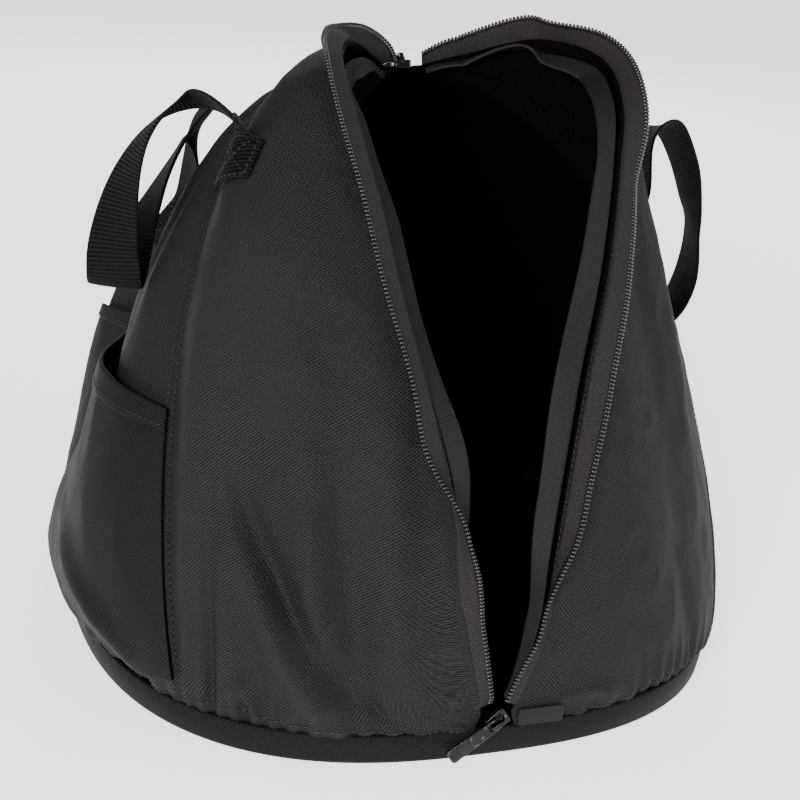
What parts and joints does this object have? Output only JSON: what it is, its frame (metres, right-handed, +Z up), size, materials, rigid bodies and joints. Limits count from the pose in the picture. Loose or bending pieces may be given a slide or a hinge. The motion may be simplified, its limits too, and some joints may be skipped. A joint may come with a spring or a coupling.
{
  "type": "helmet bag",
  "caption": "Soft black cloth carry bag with a padded base, a zip opening from the front over the top, a side patch pocket and webbing carry handles.",
  "frame": {"origin": "middle of the flat underside of the padded base", "axes": "+Z up through the bag, the zip opening faces -Y, the patch pocket is on the -X side"},
  "size_m": [0.3969, 0.3864, 0.3335],
  "materials": {
    "shell_cloth": "black polyester twill, dull",
    "pocket_cloth": "black polyester twill, dull",
    "base_cloth": "black polyester twill over foam, dull",
    "zip_tape": "black woven zip tape",
    "edge_binding": "smooth black binding tape",
    "zip_coil": "black nylon coil, satin",
    "webbing": "black ribbed polypropylene webbing",
    "slider_metal": "black enamelled zinc, worn bright at the edges"
  },
  "bodies": {
    "bag": {"padded_base": "base_cloth", "panel_front_left": "shell_cloth", "panel_front_right": "shell_cloth", "panel_side_left": "shell_cloth", "panel_side_right": "shell_cloth", "panel_back_left": "shell_cloth", "panel_back_right": "shell_cloth", "side_pocket": "pocket_cloth", "side_pocket_hem": "pocket_cloth", "zip_tape_left": "zip_tape", "zip_teeth_left": "zip_coil", "rim_binding_left": "edge_binding", "zip_tape_right": "zip_tape", "zip_teeth_right": "zip_coil", "rim_binding_right": "edge_binding", "zip_tape_back": "zip_tape", "zip_teeth_back": "zip_coil", "zip_slider_front": "slider_metal", "zip_slider_top": "slider_metal", "zip_tab_front": "edge_binding", "zip_tab_back": "edge_binding", "handle_left": "webbing", "handle_right": "webbing"},
    "front_pull": {"zip_pull_front": "slider_metal"},
    "top_pull": {"zip_pull_top": "slider_metal"}
  },
  "joints": [
    {"name": "front_pull_hinge", "type": "hinge", "parent": "bag", "child": "front_pull", "pos_m": [0, -0.19295, 0.021], "axis": [-0.5707, 0, 0.8211], "range_deg": [0, 150]},
    {"name": "top_pull_hinge", "type": "hinge", "parent": "bag", "child": "top_pull", "pos_m": [0, 0.01603, 0.30656], "axis": [1, 0, 0], "range_deg": [0, 150]}
  ]
}
